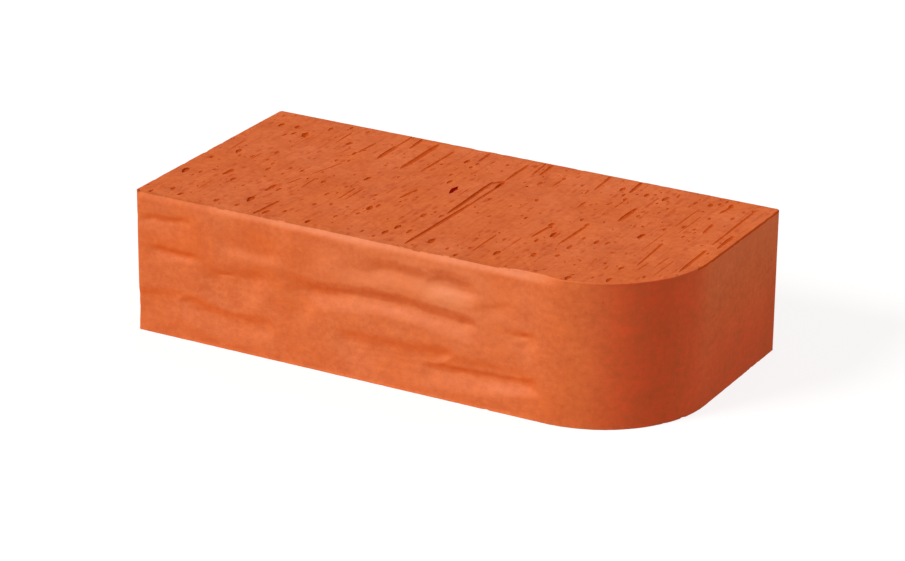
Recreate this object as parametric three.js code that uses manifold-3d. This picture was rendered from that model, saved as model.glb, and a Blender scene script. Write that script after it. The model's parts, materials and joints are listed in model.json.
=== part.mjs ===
// A solid facing brick of fired clay, 250 x 120 x 65 mm, with one upright corner rounded to
// a 50 mm radius, as laid at window reveals, piers and steps.
//
// Its shape follows from how it is made. Stiff clay leaves the die as a bar whose section is
// the plan of the brick, rounded corner included, so all four upright sides share one outline.
// A roller then folds shallow laps into one long face and softens that face's top edge.
// Last, wires slice the bar into bricks: both beds are flat and sharp-edged, and hard grains
// caught on the wire leave long scores across the upper bed.
//
// Millimetres, +Z up. X runs along the length, with the rounded corner at the right end of the
// rolled face, and Y runs from the rolled face (-Y) to the back. The origin is in the middle
// of the lower bed.
import * as THREE from "three";
import { mergeVertices } from "three/addons/utils/BufferGeometryUtils.js";
import Module from "manifold-3d";

// ---- The bar of clay ----------------------------------------------------------------------
const LENGTH = 250;
const WIDTH = 120;
const HEIGHT = 65; // bed to bed
const CORNER_RADIUS = 50; // the rounded corner
const DIE_EDGE = 1.5; // radius that the die leaves on the other three upright edges
const CUT_EDGE = 0.6; // worn arris along both cut beds

// ---- The rolled face ----------------------------------------------------------------------
const ROLLED_EDGE = 4; // height of the softened top edge
const ROLLED_EDGE_BACK = 2.2; // how far that edge stands back at the bed
const ROLLED_EDGE_CURVE = 1.6; // 1 is a plain bevel, more is rounder
const ROLLED_EDGE_FADE = 12; // length over which the edge sharpens again, at the corner
const LAP_DEPTH = 1.7; // how far in a lap of depth 1 goes
const LAP_DROP = 5; // height of a lap's upper side, above its crease
const LAP_RUN = 7; // height of its lower side, below the crease
const LAP_START = 12; // length over which a lap deepens, at its left end
const LAP_END = 9; // length over which it dies out, at its right end

// ---- Wire scores on the upper bed -----------------------------------------------------------
const SCORE_WIDTH = 1.6; // at the end where the grain sat
const SCORE_TAIL_WIDTH = 0.5; // at the end where it runs out
const SCORE_DEPTH = 0.8;

// ---- Facets ---------------------------------------------------------------------------------
const FACE_STATION = 2.5; // spacing of the points along the rolled face
const LAYER = 1.9; // height of one layer of the sides
const CORNER_SEGMENTS = 24;
const DIE_EDGE_SEGMENTS = 3;
const SCORE_SIDES = 8;
const NUMBER_SLACK = 1e-3; // two lengths closer than this are the same length

// The rolled laps. from and to are shares of the rolled length, from the square corner to
// where the rounding starts, and a lap that starts below 0 runs off the square end. level is
// the height of the crease, as a share of the brick's height. depth and drop multiply
// LAP_DEPTH and LAP_DROP, and runs multiply LAP_RUN at the left end, in the middle and at the
// right end. The crease wanders by wave (mm) up and down, over turns waves that start at
// phase (both in whole waves).
const LAPS = [
  {
    from: 0, to: 0.158, level: 0.808, depth: 0.5,
    drop: 0.95, runs: [0.5, 1.2, 1.2], wave: 0.9, turns: 0.5, phase: -0.25,
  },
  {
    from: 0, to: 0.175, level: 0.59, depth: 0.43,
    drop: 0.65, runs: [1.2, 0.6, 0.4], wave: 0.3, turns: 0.5, phase: 0.25,
  },
  {
    from: 0.15, to: 0.335, level: 0.545, depth: 0.83,
    drop: 1.5, runs: [1.2, 3.5, 1.2], wave: 5, turns: 0.25, phase: -0.25,
  },
  {
    from: 0.19, to: 0.375, level: 0.723, depth: 0.62,
    drop: 2.6, runs: [0.65, 0.6, 0.6], wave: 0.3, turns: 0.5, phase: 0.25,
  },
  {
    from: 0.36, to: 0.47, level: 0.552, depth: 0.95,
    drop: 1.3, runs: [1.2, 3, 1.5], wave: 0.3, turns: 0.5, phase: 0.25,
  },
  {
    from: 0.385, to: 0.84, level: 0.558, depth: 1.22,
    drop: 1.35, runs: [1.5, 0.95, 1.3], wave: 1.2, turns: 1.2, phase: 0.606,
  },
  {
    from: 0.55, to: 0.845, level: 0.787, depth: 0.66,
    drop: 1.15, runs: [1, 1, 1], wave: 1.3, turns: 0.75, phase: 0,
  },
  {
    from: 0.69, to: 0.85, level: 0.78, depth: 1.12,
    drop: 1.65, runs: [1.4, 0.75, 0.65], wave: 0.5, turns: 0.5, phase: 0.25,
  },
  {
    from: 0.48, to: 0.64, level: 0.775, depth: 0.35,
    drop: 2, runs: [1, 1, 1], wave: 0.5, turns: 0.5, phase: 0.25,
  },
  {
    from: -0.03, to: 0.13, level: 0.258, depth: 0.6,
    drop: 1.05, runs: [2.8, 2.4, 1], wave: 1.5, turns: 0.5, phase: -0.25,
  },
  {
    from: 0.08, to: 0.36, level: 0.23, depth: 0.92,
    drop: 1.35, runs: [1, 1.8, 1], wave: 1.7, turns: 0.75, phase: 0.25,
  },
  {
    from: 0.48, to: 0.79, level: 0.294, depth: 1,
    drop: 1.2, runs: [1.2, 3.2, 0.8], wave: 2.5, turns: 0.25, phase: -0.25,
  },
  {
    from: 0.6, to: 0.97, level: 0.262, depth: 0.48,
    drop: 1, runs: [0.6, 1.5, 0.8], wave: 0.4, turns: 0.5, phase: -0.25,
  },
  {
    from: 0.67, to: 0.995, level: 0.206, depth: 1.28,
    drop: 1.06, runs: [1.4, 1.3, 0.5], wave: 0.9, turns: 0.5, phase: -0.25,
  },
  {
    from: 0.9, to: 0.99, level: 0.539, depth: 0.8,
    drop: 0.8, runs: [1, 2, 1.6], wave: 0.5, turns: 0.5, phase: 0.1,
  },
];

// The scores, each straight across the bed, the way the wire went. at is a share of the
// length, from the square end, and head and tail are shares of the width, from the rolled
// face. width multiplies SCORE_WIDTH.
const SCORES = [
  { at: 0.533, head: 0.74, tail: 0.035, width: 1.0 },
  { at: 0.519, head: 0.76, tail: 0.36, width: 0.9 },
  { at: 0.281, head: 0.98, tail: 0.76, width: 0.7 },
  { at: 0.341, head: 0.98, tail: 0.7, width: 0.8 },
  { at: 0.38, head: 0.95, tail: 0.71, width: 0.55 },
  { at: 0.786, head: 0.74, tail: 0.6, width: 0.6 },
];

const faceY = -WIDTH / 2;
const rightX = LENGTH / 2;
const roundingX = rightX - CORNER_RADIUS; // where the flat of the rolled face ends

// Points of a round corner, in the sense of the outline: counter-clockwise seen from above.
function corner(centreX, centreY, radius, startAngle, segments) {
  const arc = new THREE.ArcCurve(centreX, centreY, radius, startAngle, startAngle + Math.PI / 2);
  return arc.getPoints(segments);
}

// Points along the flat of the rolled face, close enough together to carry the laps.
function faceStations(startX, endX) {
  const gaps = Math.ceil((endX - startX) / FACE_STATION);
  const stations = [];
  for (let i = 1; i < gaps; i += 1) {
    stations.push(new THREE.Vector2(THREE.MathUtils.lerp(startX, endX, i / gaps), faceY));
  }
  return stations;
}

// The die's opening: the plan of the brick.
function dieOutline() {
  const left = -rightX + DIE_EDGE;
  const right = rightX - DIE_EDGE;
  const back = -faceY - DIE_EDGE;
  return new THREE.Shape([
    ...corner(left, faceY + DIE_EDGE, DIE_EDGE, Math.PI, DIE_EDGE_SEGMENTS),
    ...faceStations(left, roundingX),
    ...corner(roundingX, faceY + CORNER_RADIUS, CORNER_RADIUS, -Math.PI / 2, CORNER_SEGMENTS),
    ...corner(right, back, DIE_EDGE, 0, DIE_EDGE_SEGMENTS),
    ...corner(left, back, DIE_EDGE, Math.PI / 2, DIE_EDGE_SEGMENTS),
  ]);
}

// The bar, cut to one brick with a small worn arris round both beds.
function cutBar() {
  const wallHeight = HEIGHT - 2 * CUT_EDGE;
  const bar = new THREE.ExtrudeGeometry(dieOutline(), {
    depth: wallHeight,
    steps: Math.ceil(wallHeight / LAYER),
    bevelEnabled: true,
    bevelThickness: CUT_EDGE,
    bevelSize: CUT_EDGE,
    bevelOffset: -CUT_EDGE,
    bevelSegments: 1,
  });
  return bar.translate(0, 0, CUT_EDGE);
}

// 0 to 1, rising smoothly as value goes from 0 to span.
function ease(value, span) {
  return THREE.MathUtils.smoothstep(value, 0, span);
}

// Height of a lap's lower side, at a share of the lap's length.
function lowerSide(lap, along) {
  const [left, middle, right] = lap.runs;
  const onLeft = THREE.MathUtils.lerp(left, middle, 2 * along);
  const onRight = THREE.MathUtils.lerp(middle, right, 2 * along - 1);
  return LAP_RUN * (along < 0.5 ? onLeft : onRight);
}

// How far one lap presses the face in at (x, z).
function lapDepth(lap, x, z) {
  const rolledLength = roundingX + rightX;
  const start = lap.from * rolledLength - rightX;
  const end = lap.to * rolledLength - rightX;
  const along = THREE.MathUtils.clamp((x - start) / (end - start), 0, 1);
  const turn = 2 * Math.PI * (lap.turns * along + lap.phase);
  const crease = lap.level * HEIGHT + lap.wave * Math.sin(turn);
  const drop = lap.drop * LAP_DROP;
  const run = lowerSide(lap, along);
  const fold = ease(crease + drop - z, drop) * ease(z - crease + run, run);
  return LAP_DEPTH * lap.depth * fold * ease(x - start, LAP_START) * ease(end - x, LAP_END);
}

// How far the softened top edge stands back at (x, z). It starts at the square end, and fades
// away just before the rounded corner.
function topEdgeSetback(x, z) {
  const rise = THREE.MathUtils.clamp((z - HEIGHT) / ROLLED_EDGE + 1, 0, 1);
  const ends = ease(x + rightX, DIE_EDGE) * ease(roundingX - x, ROLLED_EDGE_FADE);
  return ROLLED_EDGE_BACK * rise ** ROLLED_EDGE_CURVE * ends;
}

// Presses the roller's laps and soft edge into the front of the bar.
function rollFace(bar) {
  const points = bar.getAttribute("position");
  for (let i = 0; i < points.count; i += 1) {
    const [x, y, z] = [points.getX(i), points.getY(i), points.getZ(i)];
    const onFace = y < faceY + Math.max(CUT_EDGE, DIE_EDGE) + NUMBER_SLACK && x < roundingX;
    if (onFace) {
      const laps = LAPS.map((lap) => lapDepth(lap, x, z));
      points.setY(i, y + Math.max(...laps, 0) + topEdgeSetback(x, z));
    }
  }
  return bar;
}

// The furrow that one grain cuts: a tapered rod laid in the upper bed, flattened to the depth
// of the score.
function scoreCutter(score) {
  const head = score.head * WIDTH + faceY;
  const tail = score.tail * WIDTH + faceY;
  const radius = (score.width * SCORE_WIDTH) / 2;
  const furrow = new THREE.CylinderGeometry(radius, SCORE_TAIL_WIDTH / 2, head - tail, SCORE_SIDES);
  furrow.scale(1, 1, SCORE_DEPTH / (SCORE_WIDTH / 2));
  return furrow.translate(score.at * LENGTH - rightX, (head + tail) / 2, HEIGHT);
}

const wasm = await Module();
wasm.setup();

function toSolid(geometry) {
  const bare = new THREE.BufferGeometry();
  bare.setAttribute("position", geometry.getAttribute("position"));
  bare.setIndex(geometry.getIndex());
  const merged = mergeVertices(bare, NUMBER_SLACK);
  return new wasm.Manifold(
    new wasm.Mesh({
      numProp: 3,
      vertProperties: merged.getAttribute("position").array,
      triVerts: new Uint32Array(merged.getIndex().array),
    }),
  );
}

function toGeometry(solid) {
  const mesh = solid.getMesh();
  const geometry = new THREE.BufferGeometry();
  geometry.setAttribute("position", new THREE.BufferAttribute(mesh.vertProperties, mesh.numProp));
  geometry.setIndex(new THREE.BufferAttribute(mesh.triVerts, 1));
  geometry.computeVertexNormals();
  return geometry;
}

const rolledBar = toSolid(rollFace(cutBar()));
const scored = SCORES.reduce((bar, score) => bar.subtract(toSolid(scoreCutter(score))), rolledBar);

const firedClay = new THREE.MeshStandardMaterial({
  name: "fired_clay",
  color: 0xd16839,
  roughness: 0.9,
  metalness: 0,
});

const brick = new THREE.Mesh(toGeometry(scored), firedClay);
brick.name = "brick";

const part = new THREE.Group();
part.add(brick);

export default part;
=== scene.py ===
# %% [markdown]
# # A fired-clay facing brick with one rounded corner
#
# The brick is one solid piece of clay. A die shapes it in plan, a roller folds shallow laps
# into one long face, and wires slice it off the bar. This file dresses the plain solid with
# what those three steps leave on real clay: soft and ragged edges, laps, pores and the long
# scores that hard grains cut when the wire drags them along.
#
# Sizes are in millimetres and become metres at the last moment. X runs along the length, the
# rolled face looks towards -Y, and Z goes up from the lower bed to the upper bed.

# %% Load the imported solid
import json
import math
import random
from collections import namedtuple

import bmesh
import bpy
import numpy as np
from mathutils import Matrix, Vector, noise
from mathutils.geometry import delaunay_2d_cdt

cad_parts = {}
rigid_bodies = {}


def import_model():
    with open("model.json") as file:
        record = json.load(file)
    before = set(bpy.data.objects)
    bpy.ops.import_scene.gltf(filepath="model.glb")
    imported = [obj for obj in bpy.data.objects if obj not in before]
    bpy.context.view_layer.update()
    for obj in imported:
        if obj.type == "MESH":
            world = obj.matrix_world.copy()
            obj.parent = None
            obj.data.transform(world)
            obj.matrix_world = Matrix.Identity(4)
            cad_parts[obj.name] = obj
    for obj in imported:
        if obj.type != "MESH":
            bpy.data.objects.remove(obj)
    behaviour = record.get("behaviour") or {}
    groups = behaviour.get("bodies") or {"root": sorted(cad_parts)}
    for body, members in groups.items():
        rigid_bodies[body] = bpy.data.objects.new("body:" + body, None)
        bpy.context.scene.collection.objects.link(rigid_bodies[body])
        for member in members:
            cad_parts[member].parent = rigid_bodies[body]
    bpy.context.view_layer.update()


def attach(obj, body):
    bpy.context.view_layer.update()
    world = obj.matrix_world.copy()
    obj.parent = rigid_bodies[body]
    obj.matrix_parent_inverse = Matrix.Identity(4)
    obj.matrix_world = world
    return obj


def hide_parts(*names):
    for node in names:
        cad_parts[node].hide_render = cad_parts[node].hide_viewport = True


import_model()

# %% [markdown]
# ## Sizes
#
# These repeat the sizes of the solid, so that the dressed brick fills the same box.

# %% Sizes of the brick, in millimetres
MM = 0.001
LENGTH, WIDTH, HEIGHT = 250.0, 120.0, 65.0
CORNER_RADIUS = 50.0
DIE_EDGE = 1.5
ROLLED_EDGE, ROLLED_EDGE_BACK = 4.0, 2.2  # height and depth of the softened top edge
ROLLED_EDGE_CURVE = 1.6
ROLLED_EDGE_FADE = 12.0
LAP_DEPTH, LAP_DROP, LAP_RUN = 1.7, 5.0, 7.0
LAP_START, LAP_END = 12.0, 9.0  # a lap deepens slowly and ends abruptly

half_length, half_width = LENGTH / 2, WIDTH / 2
rounding_x = half_length - CORNER_RADIUS
rolled_length = rounding_x + half_length
corner_centre = np.array([rounding_x, -half_width + CORNER_RADIUS])
print("rolled face", rolled_length, "mm long")


# %% Small helpers for shapes
def in_scene(name, data):
    """A new object of this data, in the scene."""
    made = bpy.data.objects.new(name, data)
    bpy.context.scene.collection.objects.link(made)
    return made


def ease(value, span):
    """0 to 1, rising smoothly as value goes from 0 to span."""
    share = np.clip(np.asarray(value, float) / span, 0.0, 1.0)
    return share * share * (3.0 - 2.0 * share)


def lumps(x, y, z, size, seed=0):
    """Smooth random numbers, about -1 to 1, with lumps of this size in mm."""
    spots = np.broadcast_arrays(np.asarray(x, float), y, z)
    flat = zip(*(spot.ravel() / size for spot in spots))
    shift = Vector((seed * 17.3, seed * 5.1, seed * 9.7))
    values = [noise.noise(Vector(spot) + shift) for spot in flat]
    return np.array(values).reshape(spots[0].shape)


# %% [markdown]
# ## The outline that the die gives
#
# All four upright sides come from one opening in the die, so one closed line describes them.
# It is walked anticlockwise, seen from above, and each station keeps the direction that
# points into the clay, because edges and laps are pushed in along it.

# %% Walk round the outline
# Millimetres between stations, on the rolled face, the rounded corner and the plain sides
FACE_STEP, CORNER_STEP, SIDE_STEP = 0.65, 1.1, 1.7


def straight(start, end, step):
    """Stations of a straight side, each with its x, its y and its direction into the clay."""
    way, long = np.subtract(end, start), math.dist(start, end)
    count = max(1, round(long / step))
    spots = np.array(start) + np.arange(count)[:, None] / count * way
    return np.hstack([spots, np.tile([-way[1] / long, way[0] / long], (count, 1))])


def rounded(centre, radius, start_angle, step):
    """Stations of a quarter circle, in the same form."""
    count = max(4, round(radius * math.pi / 2 / step))
    angle = start_angle + np.arange(count) / count * math.pi / 2
    out = np.stack([np.cos(angle), np.sin(angle)], axis=1)
    return np.hstack([np.array(centre) + radius * out, -out])


left, right = -half_length, half_length
front, back = -half_width, half_width
edge = DIE_EDGE
pieces = {
    "front": straight((left + edge, front), (rounding_x, front), FACE_STEP),
    "corner": rounded(corner_centre, CORNER_RADIUS, -math.pi / 2, CORNER_STEP),
    "right": straight((right, corner_centre[1]), (right, back - edge), SIDE_STEP),
    "right_back": rounded((right - edge, back - edge), edge, 0.0, SIDE_STEP),
    "back": straight((right - edge, back), (left + edge, back), SIDE_STEP),
    "back_left": rounded((left + edge, back - edge), edge, math.pi / 2, SIDE_STEP),
    "left": straight((left, back - edge), (left, front + edge), SIDE_STEP),
    "left_front": rounded((left + edge, front + edge), edge, math.pi, SIDE_STEP),
}
stations = np.vstack(list(pieces.values()))
plan, inward = stations[:, :2], stations[:, 2:]
print(len(stations), "stations")

# %% [markdown]
# ## The laps of the rolled face
#
# The roller folds the skin of the clay over itself. Each fold is a lap: a crease under a
# short steep drop, and a long shallow run below it. The solid is shaped by the same rule and
# by the laps of the first table, though its longest lap is a little wider and lies half a
# millimetre lower. Here each crease also wanders a little, its depth swells and fades and its
# ends are frayed, which is what keeps rolled clay from looking machined. The laps of the
# second table are too faint or too thin for the solid.
#
# The start and end of a lap are shares of the rolled length, and the level of its crease is a
# share of the height. Depth and drop multiply LAP_DEPTH and LAP_DROP, and runs multiply
# LAP_RUN at its left end, in its middle and at its right end. The crease goes up and down by
# wave (mm), over so many turns that start at phase, both counted in whole waves.

# %% Laps
Lap = namedtuple("Lap", "start end level depth drop runs wave turns phase")
LAPS = [
    Lap(0.0, 0.158, 0.808, 0.50, 0.95, (0.5, 1.2, 1.2), 0.9, 0.5, -0.25),
    Lap(0.0, 0.175, 0.590, 0.43, 0.65, (1.2, 0.6, 0.4), 0.3, 0.5, 0.25),
    Lap(0.15, 0.335, 0.545, 0.83, 1.50, (1.2, 3.5, 1.2), 5.0, 0.25, -0.25),
    Lap(0.19, 0.375, 0.723, 0.62, 2.60, (0.65, 0.6, 0.6), 0.3, 0.5, 0.25),
    Lap(0.36, 0.47, 0.552, 0.95, 1.30, (1.2, 3.0, 1.5), 0.3, 0.5, 0.25),
    Lap(0.385, 0.84, 0.566, 1.22, 1.15, (1.4, 0.9, 1.2), 1.2, 1.2, 0.606),
    Lap(0.55, 0.845, 0.787, 0.66, 1.15, (1, 1, 1), 1.3, 0.75, 0.0),
    Lap(0.69, 0.85, 0.780, 1.12, 1.65, (1.4, 0.75, 0.65), 0.5, 0.5, 0.25),
    Lap(0.48, 0.64, 0.775, 0.35, 2.00, (1, 1, 1), 0.5, 0.5, 0.25),
    Lap(-0.03, 0.13, 0.258, 0.60, 1.05, (2.8, 2.4, 1.0), 1.5, 0.5, -0.25),
    Lap(0.08, 0.36, 0.230, 0.92, 1.35, (1.0, 1.8, 1.0), 1.7, 0.75, 0.25),
    Lap(0.48, 0.79, 0.294, 1.00, 1.20, (1.2, 3.2, 0.8), 2.5, 0.25, -0.25),
    Lap(0.6, 0.97, 0.262, 0.48, 1.00, (0.6, 1.5, 0.8), 0.4, 0.5, -0.25),
    Lap(0.67, 0.995, 0.206, 1.28, 1.06, (1.4, 1.3, 0.5), 0.9, 0.5, -0.25),
    Lap(0.9, 0.99, 0.539, 0.80, 0.80, (1.0, 2.0, 1.6), 0.5, 0.5, 0.1),
]
FINE_LAPS = [
    Lap(0.8, 0.94, 0.690, 0.25, 0.70, (1, 1, 1), 2.6, 0.5, -0.25),
    Lap(-0.01, 0.152, 0.812, 0.74, 0.75, (0.4, 0.4, 0.36), 0.9, 0.5, -0.25),
    Lap(0.01, 0.172, 0.592, 0.75, 0.65, (0.55, 0.5, 0.42), 0.3, 0.5, 0.25),
    Lap(0.162, 0.28, 0.522, 0.86, 0.45, (0.6, 0.6, 0.6), 0.5, 0.5, -0.25),
    Lap(0.89, 0.985, 0.556, 0.92, 0.5, (0.7, 0.7, 0.7), 0.5, 0.5, -0.25),
]
HILL_HEIGHT, DIMPLE_HEIGHT = 0.26, 0.05  # the skin's hills and dimples rise and fall by these
DRAWN_DEPTH = 0.08  # of the lines that are drawn out inside a lap
CALM_RIGHT, CALM_LEFT = 16.0, 30.0  # the hills die out over these lengths at the ends


def lap_depth(lap, x, frayed_x, z, wander, swell):
    """How deep one lap lies below the die's outline at x and z."""
    start, end = (share * rolled_length - half_length for share in (lap.start, lap.end))
    along = (x - start) / (end - start)
    turn = 2 * math.pi * (lap.turns * along + lap.phase)
    crease = lap.level * HEIGHT + lap.wave * np.sin(turn) + wander
    drop = lap.drop * LAP_DROP
    run = np.interp(along, (0, 0.5, 1), lap.runs) * LAP_RUN
    fold = ease(crease + drop - z, drop) * ease(z - crease + run, run)
    ends = ease(frayed_x - start, LAP_START) * ease(end - frayed_x, LAP_END)
    return LAP_DEPTH * lap.depth * ends * fold * swell


def rolled_relief(x, z):
    """How deep the rolled skin lies below the die's outline at x and z."""
    wander = 0.4 * lumps(x, 0, z, 9.0, 1) + 0.3 * lumps(x, 0, z, 3.0, 2)
    swell = 0.88 + 0.12 * lumps(x, 0, z, 11.0, 3)
    frayed_x = x + 3.0 * lumps(x / 4, 0, z, 5.0, 6)
    depths = [lap_depth(lap, x, frayed_x, z, wander, swell) for lap in LAPS + FINE_LAPS]
    folds = np.max(depths, axis=0)
    hills = HILL_HEIGHT * (1 + lumps(x / 1.6, 0, z, 8.0, 4))
    dimples = DIMPLE_HEIGHT * (1 + lumps(x / 1.4, 0, z - 0.5 * x, 2.2, 5))
    drawn = DRAWN_DEPTH * lumps(x / 6, 0, z, 1.2, 7) * np.clip(folds, 0.0, 1.2)
    calm = ease(rounding_x - x, CALM_RIGHT) * ease(x + half_length, CALM_LEFT)
    return folds + drawn + (hills + dimples) * calm


print(len(LAPS), "laps and", len(FINE_LAPS), "fine ones")

# %% [markdown]
# ## The edges
#
# The wire leaves both beds with an edge that is sharp but weak, and it crumbles a little
# wherever the brick is handled. So the radius of each bed's edge changes all the way round,
# with a small chip here and there. Along the top of the rolled face the roller has already
# bent the edge over, and it is round and soft.

# %% Size of the edge at each station, for either bed
WORN_RADIUS, WORN_SPREAD = 0.32, 0.14  # usual radius of a worn edge, and how much it varies
LEAST_RADIUS = 0.08
CHIP_FROM, CHIP_GROWTH = 0.34, 2.2  # a chip grows where the noise passes the first number


def worn_edge(seed):
    x, y = plan.T
    uneven = WORN_SPREAD * (lumps(x, y, 0, 4.0, seed) + lumps(x, y, 0, 1.6, seed + 1))
    chips = CHIP_GROWTH * np.clip(lumps(x, y, 0, 4.5, seed + 2) - CHIP_FROM, 0.0, None)
    return np.clip(WORN_RADIUS + uneven + chips, LEAST_RADIUS, DIE_EDGE * 0.9)


def softness():
    """How far each station's top edge is bent back: up to 1 on the rolled face, 0 elsewhere."""
    x, y = plan.T
    round_corner = CORNER_RADIUS * np.arctan2(x - rounding_x, corner_centre[1] - y)
    walked = np.where(y < front + DIE_EDGE, x, right)
    walked = np.where((x > rounding_x) & (y < corner_centre[1]), rounding_x + round_corner, walked)
    end = rounding_x + 0.7 * ROLLED_EDGE_FADE
    soft = ease(walked + half_length, DIE_EDGE) * ease(end - walked, ROLLED_EDGE_FADE)
    soft = soft * (0.6 + 0.35 * ease(walked + half_length, 70.0))
    return soft * (1 + 0.25 * lumps(x, 0, 0, 9.0, 14) + 0.12 * lumps(x, 0, 0, 2.5, 15))


upper_edge, lower_edge, soft = worn_edge(11), worn_edge(21), softness()
print("worn edge up to", upper_edge.max().round(2), "mm")

# %% How far the clay stands in from the die's outline
SKIN_WAVE, SKIN_GRAIN = 0.06, 0.02  # mean depth of the die skin's waves and of its grain


def worn_setback(height_above, radius):
    above = np.clip(height_above, 0.0, radius)
    return radius - np.sqrt(np.maximum(radius**2 - above**2, 0.0))


def setback(which, level):
    radius_up, radius_down = upper_edge[which], lower_edge[which]
    worn_up = worn_setback(level - (HEIGHT - radius_up), radius_up)
    worn_down = worn_setback(radius_down - level, radius_down)
    rolled = np.clip((level - HEIGHT + ROLLED_EDGE) / ROLLED_EDGE, 0.0, 1.0) ** ROLLED_EDGE_CURVE
    rolled_up = ROLLED_EDGE_BACK * soft[which] * rolled
    x, y = plan[which].T
    skin = SKIN_WAVE * (1 + lumps(x, y, level, 14.0, 31))
    skin = skin + SKIN_GRAIN * (1 + lumps(x, y, level / 3, 3.5, 32))
    on_face = (y < front + DIE_EDGE + 0.01) & (x < rounding_x)
    relief = skin + np.where(on_face, rolled_relief(x, np.full_like(x, level)), 0.0)
    relief = relief * ease(HEIGHT - level, 1.5) * ease(level, 1.0)
    return np.maximum(worn_up * np.clip(1 - 1.2 * soft[which], 0, 1) + rolled_up, worn_down) + relief


# %% [markdown]
# ## The body
#
# One ring of points per level makes the wall. The rolled face takes every level and the plain
# sides only some of them. Where the two meet, the faces beside the seam simply take in the
# extra points of the finer side, so that the mesh stays closed.

# %% Levels of the wall
LEVEL_STEP = 0.75  # mm between levels, away from the beds
COARSE_EVERY = 4  # the plain sides take every fourth of those levels
lower_levels = [0.0, 0.05, 0.15, 0.3, 0.55, 0.9, 1.4]
upper_levels = [HEIGHT - below for below in (2.7, 2.2, 1.75, 1.35, 1, 0.7, 0.45, 0.25, 0.12, 0.04, 0)]
lowest, highest = lower_levels[-1], upper_levels[0]
middle = np.linspace(lowest, highest, round((highest - lowest) / LEVEL_STEP) + 1)[1:-1]
levels = np.array(lower_levels + list(middle) + upper_levels)
is_coarse = np.ones(len(levels), bool)
of_middle = np.arange(len(middle))
is_coarse[len(lower_levels) + of_middle] = of_middle % COARSE_EVERY == COARSE_EVERY - 1
coarse_levels = np.flatnonzero(is_coarse)
fine_count = len(pieces["front"]) + 1  # stations 0 .. fine_count-1 take every level
print(len(levels), "levels,", len(coarse_levels), "of them all round")

# %% The wall
points = []
number = -np.ones((len(levels), len(stations)), int)
for k, level in enumerate(levels):
    which = np.arange(len(stations)) if is_coarse[k] else np.arange(fine_count)
    inset = setback(which, level)
    spots = plan[which] + inward[which] * inset[:, None]
    number[k, which] = len(points) + np.arange(len(which))
    points.extend((x, y, level) for x, y in spots)


def side_points(station, low, high):
    """The points that a station has from one level up to another."""
    column = number[low : high + 1, station]
    return [n for n in column if n >= 0]


faces = []
for s in range(len(stations)):
    after = (s + 1) % len(stations)
    both_fine = s < fine_count and after < fine_count and after > s
    rows = list(range(len(levels)) if both_fine else coarse_levels)
    for low, high in zip(rows, rows[1:]):
        near, far = side_points(s, low, high), side_points(after, low, high)
        faces.append([near[0], *far, *reversed(near[1:])])
wall_faces = len(faces)
print(wall_faces, "faces in the wall")

# %% [markdown]
# ## The beds
#
# A bed is a flat skin inside the ring at its edge. The wire leaves it a little uneven, with
# faint ridges along the way it travelled. So the inside is filled with rows of points that
# are closer together across the ridges than along them, and a constrained Delaunay
# triangulation ties them to the edge.

# %% Fill the ring of each bed
BED_SWELL, BED_RIDGE = 0.10, 0.05  # mean depth of the bed's wide swells and of its ridges
BED_COLUMN_STEP, BED_ROW_STEP = 1.7, 5.0  # mm between the bed's points, across and along the ridges


def inside_by(x, y):
    """How far inside the outline a point of the plan lies, in mm."""
    flat = np.minimum.reduce([x - left, right - x, y - front, back - y])
    from_centre = np.hypot(x - corner_centre[0], y - corner_centre[1])
    round_part = (x > corner_centre[0]) & (y < corner_centre[1])
    return np.where(round_part, CORNER_RADIUS - from_centre, flat)


def bed_dip(x, y, seed):
    """How deep the bed lies below the flat that the wire would ideally leave."""
    uneven = BED_SWELL * (1 + lumps(x, y, 0, 28.0, seed))
    ridges = BED_RIDGE * (1 + lumps(x, y / 14, 0, 3.2, seed + 1))
    return (uneven + ridges) * ease(inside_by(x, y) - 0.5, 4.0)


def bed(ring_level, z, facing, seed):
    """Fill the ring of one level with triangles that face up (1) or down (-1)."""
    columns = np.arange(left + 2.0, right - 1.0, BED_COLUMN_STEP)
    rows = np.arange(front + 2.0, back - 1.0, BED_ROW_STEP)
    x, y = [grid.ravel() for grid in np.meshgrid(columns, rows)]
    y = y + 1.6 * np.sin(x * 2.1)
    keep = (inside_by(x, y) > 1.6) & ((y > front + ROLLED_EDGE_BACK + 1.8) | (x > rounding_x))
    x, y = x[keep], y[keep]
    ring = number[ring_level]
    rim = [Vector(points[n][:2]) for n in ring]
    inner = [Vector(spot) for spot in zip(x, y)]
    result = delaunay_2d_cdt(rim + inner, [], [list(range(len(rim)))], 1, 1e-5)
    names = list(ring) + list(range(len(points), len(points) + len(inner)))
    dips = bed_dip(x, y, seed)
    points.extend((px, py, z - facing * dip) for px, py, dip in zip(x, y, dips))
    source = [names[origin[0]] for origin in result[3]]
    for triangle in result[2]:
        corners = [source[c] for c in triangle]
        faces.append(corners if facing > 0 else corners[::-1])


bed(-1, HEIGHT, 1, 41)
bed(0, 0.0, -1, 51)
print(len(faces) - wall_faces, "triangles in the beds")

# %% One closed mesh
def print_solid(bm):
    """Print whether the mesh is closed, and how much clay it holds."""
    open_edges = sum(len(edge.link_faces) != 2 for edge in bm.edges)
    print("open edges", open_edges, "volume", round(bm.calc_volume() * 1e6, 1), "cm3")


body_mesh = bpy.data.meshes.new("brick_body")
body_mesh.from_pydata([[c * MM for c in spot] for spot in points], [], faces)
bm = bmesh.new()
bm.from_mesh(body_mesh)
print_solid(bm)
bm.free()
brick = in_scene("facing_brick", body_mesh)

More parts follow.
